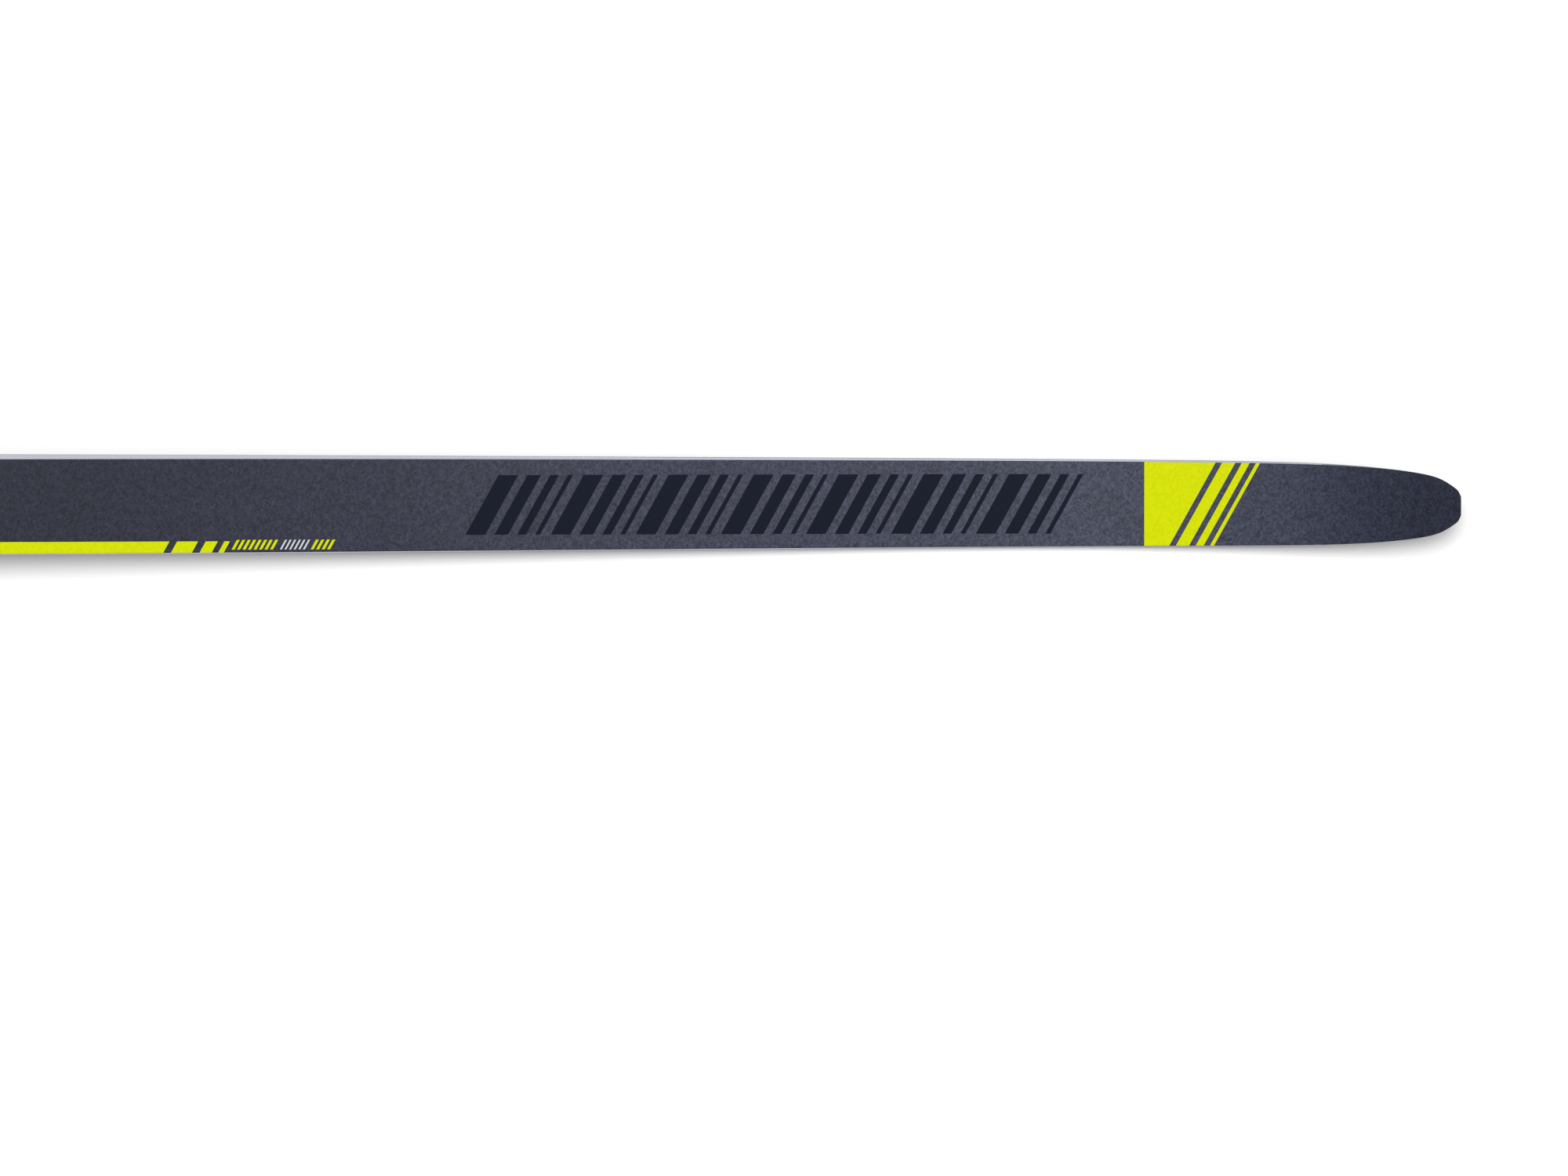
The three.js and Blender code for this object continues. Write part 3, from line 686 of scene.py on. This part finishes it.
ink_pieces = (
    ("bar_print", bars, DARK_INK), ("band_print", band, YELLOW_INK), ("stripe_print", stripe, YELLOW_INK),
    ("label_print", label, YELLOW_INK), ("light_label_print", light_label, WHITE_INK),
)
for name, polygons, ink in ink_pieces:
    printed(name, polygons, ink)


# ---------------------------------------------------------------- the binding
def rounded(node, material, radius):
    """A copy of a CAD piece with its sharp outer edges rounded. Its edge_wear attribute is 1 along the middle
    of each rounding."""
    bm = bmesh.new()
    bm.from_mesh(NODES[node].data)
    bmesh.ops.remove_doubles(bm, verts=bm.verts, dist=1e-6)
    bmesh.ops.dissolve_limit(bm, angle_limit=math.radians(1), verts=bm.verts, edges=bm.edges)
    sharp = [
        e for e in bm.edges
        if len(e.link_faces) == 2 and e.is_convex and e.calc_face_angle(0) > math.radians(35)
    ]
    bevel = bmesh.ops.bevel(
        bm, geom=sharp, offset=radius, offset_type="OFFSET", segments=2, profile=0.5, affect="EDGES",
        clamp_overlap=False,
    )
    round_faces = set(bevel["faces"])
    wear = bm.verts.layers.float.new("edge_wear")
    for v in bm.verts:
        v[wear] = float(all(f in round_faces for f in v.link_faces))
    piece = finish_mesh(node + "_rounded", bm, material, NODES[node]["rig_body"], angle=40)
    weighted = piece.modifiers.new("even_shading", "WEIGHTED_NORMAL")
    weighted.keep_sharp = True
    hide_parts(node)


for node, material, slot, radius in (  # radius in mm
    ("mounting_plate", NYLON, "nylon", 0.35),
    ("toe_base", NYLON, "nylon", 0.3),
    ("toe_bar_seat", STEEL, "steel", 0.25),
    ("jaw", STEEL, "steel", 0.25),
    ("lever", GREY_NYLON, "grey_nylon", 0.35),
    ("toe_latch", GREY_NYLON, "grey_nylon", 0.4),
    ("heel_base", NYLON, "nylon", 0.4),
    ("heel_latch", GREY_NYLON, "grey_nylon", 0.4),
):
    rounded(node, material, radius * MM)

for node, material in (
    ("core_front", WOOD),
    ("core_middle", WOOD),
    ("core_rear", WOOD),
    ("binding_reinforcement", GLASS_MAT),
):
    NODES[node].data.materials.clear()
    NODES[node].data.materials.append(material)


class Unit:
    """A binding unit's own frame, in mm: u along its slide, v to the left, w up from the plate. It is found
    from the slide's direction and the middle of a pin whose place in the unit is known."""

    def __init__(self, slide, pin, u, w):
        joint = next(j for j in frame["joints"] if j["name"] == slide)
        self.along = Vector(joint["axis"]).normalized()
        self.up = Vector((-self.along.z, 0, self.along.x))
        low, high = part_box(pin)
        self.origin = (low + high) / 2 - u * MM * self.along - w * MM * self.up

    def at(self, u, v, w):
        """The place of a point of the unit, in metres."""
        return self.origin + self.along * (u * MM) + Vector((0, v * MM, 0)) + self.up * (w * MM)


TOE = Unit("toe_slide", "lever_pin", 36, 10.5)
HEEL = Unit("heel_slide", "heel_latch_pin", -24, 6.1)


def skin(name, unit, rings, material, body, angle=40.0):
    """A piece skinned over closed rings of (u, v, w) points."""
    bm = bmesh.new()
    skin_rings(bm, [[unit.at(*point) for point in ring] for ring in rings])
    return finish_mesh(name, bm, material, body, angle)


def rounded_box_ring(u, v0, v1, w0, w1, radius, steps=4):
    """A rectangle with round corners across the unit."""
    corners = [
        (v1 - radius, w0 + radius, -90), (v1 - radius, w1 - radius, 0),
        (v0 + radius, w1 - radius, 90), (v0 + radius, w0 + radius, 180),
    ]
    ring = []
    for v, w, start in corners:
        for i in range(steps + 1):
            a = math.radians(start + 90 * i / steps)
            ring.append((u, v + radius * math.cos(a), w + radius * math.sin(a)))
    return ring


def end_inset(u, u0, u1, radius):
    """How far a piece from u0 to u1 with rounded ends is drawn in at u."""
    inside = min(u - u0, u1 - u)
    reach = max(radius - inside, 0.0)
    return radius - math.sqrt(max(radius * radius - reach * reach, 0.0))


def ribbed_pad(node, unit, u0, u1, v0, v1, body):
    """A rubber pad with ribs across it and a smooth border."""
    w0, w1, radius, border, margin = 3.75, 5.65, 0.7, 3.0, 0.6
    rib_pitch, valley_depth, slice_width = 2.6, 0.45, 0.13
    middle, ribbed = (v0 + v1) / 2, u1 - u0 - 2 * border
    rib_count = round(ribbed / rib_pitch)
    count = round((u1 - u0) / slice_width)
    rings = []
    for i in range(count + 1):
        u = u0 + (u1 - u0) * i / count
        inset = end_inset(u, u0, u1, radius)
        valley = 0.0
        if u0 + border < u < u1 - border:
            phase = (u - u0 - border) / ribbed * rib_count
            valley = valley_depth * math.sqrt(max(0.0, -math.cos(2 * math.pi * phase) - 0.2))
        ring = rounded_box_ring(u, v0 + inset, v1 - inset, w0, w1 - inset, radius)
        inner = (v1 - v0) / 2 - margin
        rings.append([
            (a, v, w - valley if w > w1 - 0.5 and abs(v - middle) <= inner else w) for a, v, w in ring
        ])
    piece = skin(node + "_ribbed", unit, rings, RUBBER, body)
    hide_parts(node)


for side, v0, v1 in (("left", 13.3, 20.9), ("right", -20.9, -13.3)):
    ribbed_pad("toe_pad_" + side, TOE, -60, -14, v0, v1, "toe_unit")
    ribbed_pad("heel_pad_" + side, HEEL, -40, 38, v0, v1, "heel_unit")


def turned_pin(node, unit, u, w, radius, half, body):
    """A steel pin with domed ends."""
    dome = 0.35 * radius
    marks = [(-half, 0.55), (-half + 0.3 * dome, 0.8), (-half + dome, 1.0)]
    marks += [(-v, share) for v, share in reversed(marks)]
    round_angles = [2 * math.pi * k / 32 for k in range(32)]
    rings = [
        [(u + radius * share * math.cos(a), v, w + radius * share * math.sin(a)) for a in round_angles]
        for v, share in marks
    ]
    piece = skin(node + "_turned", unit, rings, STEEL, body)
    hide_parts(node)


turned_pin("lever_pin", TOE, 36, 10.5, 2.0, 19.4, "toe_unit")
turned_pin("toe_latch_pin", TOE, -44, 6.1, 1.0, 11.0, "toe_unit")
turned_pin("heel_latch_pin", HEEL, -24, 6.1, 1.0, 11.0, "heel_unit")


def round_outline(corners, steps=5):
    """A closed outline of (u, w) points from corners (u, w, radius), each turned into an arc."""
    points = []
    for i, (u, w, radius) in enumerate(corners):
        here = np.array((u, w))
        back = np.array(corners[i - 1][:2]) - here
        ahead = np.array(corners[(i + 1) % len(corners)][:2]) - here
        back, ahead = back / np.linalg.norm(back), ahead / np.linalg.norm(ahead)
        half_angle = math.acos(np.clip(back @ ahead, -1, 1)) / 2
        reach = radius / math.tan(half_angle)
        start, end = here + back * reach, here + ahead * reach
        for k in range(steps + 1):
            t = k / steps
            point = (1 - t) ** 2 * start + 2 * t * (1 - t) * here + t * t * end
            points.append((float(point[0]), float(point[1])))
    return points


def flexor():
    """The rubber bumper: a profile skinned from side to side, drawn in at both ends and at its grooves."""
    bottom, top = 9.6, 20.97
    profile = round_outline([
        (12.9, bottom, 0.3), (27.6, bottom, 0.3), (27.6, 18.5, 2.2), (25.1, top, 2.2), (17.4, top, 4.2),
        (13.5, 16, 4.0), (12.9, 12.6, 1.5),
    ])
    half, radius = 15.2, 1.3
    groove_deep, groove_wide = 0.55, 0.42
    grooves = (-10.5, -6.3, -2.1, 2.1, 6.3, 10.5)
    middle_u, middle_w, half_u, half_w = 20.6, 14.0, 7.3, 7.0
    count = 150
    rings = []
    for i in range(count + 1):
        v = -half + 2 * half * i / count
        drawn = end_inset(v, -half, half, radius)
        drawn += sum(groove_deep * math.exp(-(((v - groove) / groove_wide) ** 2)) for groove in grooves)
        share_u, share_w = 1 - drawn / half_u, 1 - drawn / half_w
        rings.append([
            (middle_u + (u - middle_u) * share_u, v, max(bottom, middle_w + (w - middle_w) * share_w))
            for u, w in profile
        ])
    piece = skin("flexor_ribbed", TOE, rings, RUBBER, "toe_unit", 50)
    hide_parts("flexor")


flexor()


def jaw_spring():
    """A coil between the jaw's tab and the stop."""
    u0, u1, middle, radius, wire, turns = 41.4, 56.2, 6.2, 1.95, 0.4, 6
    steps = turns * 28
    rings = []
    for i in range(steps + 1):
        t = i / steps
        angle = 2 * math.pi * turns * t
        u = u0 + wire + t * (u1 - u0 - 2 * wire)
        outward = Vector((0, math.cos(angle), math.sin(angle)))
        centre = Vector((u, 0, middle)) + radius * outward
        rings.append([
            tuple(centre + wire * (math.cos(a) * outward + math.sin(a) * Vector((1, 0, 0))))
            for a in (2 * math.pi * k / 10 for k in range(10))
        ])
    piece = skin("jaw_spring_coil", TOE, rings, STEEL, "toe_unit", 50)
    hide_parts("jaw_spring")
    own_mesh(piece)


jaw_spring()


def lever_grip():
    """Ribs for a thumb or a pole's tip on the lever's front slope. They sink into it at their ends."""
    slope_u, slope_w, fall = 72, 13.55, 5 / 17
    half, wide, high, sunk, steps = 7.5, 0.55, 0.45, 0.4, 15
    bm = bmesh.new()
    for u in (79.5, 82.0, 84.5):
        w = slope_w - (u - slope_u) * fall
        rings = []
        for i in range(steps + 1):
            v = half * (2 * i / steps - 1)
            centre = w - sunk * (abs(v) / half) ** 6
            rings.append([
                TOE.at(u + wide * math.cos(a), v, centre + high * math.sin(a))
                for a in (2 * math.pi * k / 12 for k in range(12))
            ])
        skin_rings(bm, rings)
    finish_mesh("lever_grip", bm, GREY_NYLON, "lever", 60)


lever_grip()


# ---------------------------------------------------------------- floor, light and camera
VIEW_WIDTH = 716 * MM  # what the picture shows of the ski's length
TARGET = Vector((0.6214, -0.0381, 0.016))  # the front third of the ski, a little above the picture's middle
CAMERA_HEIGHT = 9.0
CAMERA_TILT = math.radians(2.7)  # leans the view so that the left sidewall just shows

bm = bmesh.new()
bmesh.ops.create_grid(bm, x_segments=1, y_segments=1, size=8)
floor_mesh = bpy.data.meshes.new("floor")
bm.to_mesh(floor_mesh)
bm.free()
floor = bpy.data.objects.new("floor", floor_mesh)
bpy.context.scene.collection.objects.link(floor)
floor.location.z = cad_low.z - 0.0002
floor_mesh.materials.append(Shader("floor_white", (0.93, 0.93, 0.93, 1), 0.9).material)


def sun(name, tilt, turn, spread, power):
    """A distant softbox: tilted from overhead, turned from +Y, and spread degrees wide."""
    data = bpy.data.lights.new(name, "SUN")
    data.energy = power
    data.angle = math.radians(spread)
    lamp = bpy.data.objects.new(name, data)
    bpy.context.scene.collection.objects.link(lamp)
    lamp.rotation_euler = (math.radians(-tilt), 0, math.radians(turn))


sun("key", tilt=13, turn=0, spread=24, power=2.3)

world = bpy.data.worlds.new("studio")
world.use_nodes = True
background = world.node_tree.nodes["Background"]
background.inputs["Color"].default_value = (1, 1, 1, 1)
background.inputs["Strength"].default_value = 0.56
bpy.context.scene.world = world
bpy.context.scene.view_settings.view_transform = "Standard"

camera_data = bpy.data.cameras.new("camera")
camera_data.lens = camera_data.sensor_width * CAMERA_HEIGHT / VIEW_WIDTH
camera_data.clip_start, camera_data.clip_end = 0.05, 100
camera = bpy.data.objects.new("camera", camera_data)
bpy.context.scene.collection.objects.link(camera)
camera.location = TARGET + CAMERA_HEIGHT * Vector((0, math.sin(CAMERA_TILT), math.cos(CAMERA_TILT)))
camera.rotation_euler = (-CAMERA_TILT, 0, 0)
bpy.context.scene.camera = camera
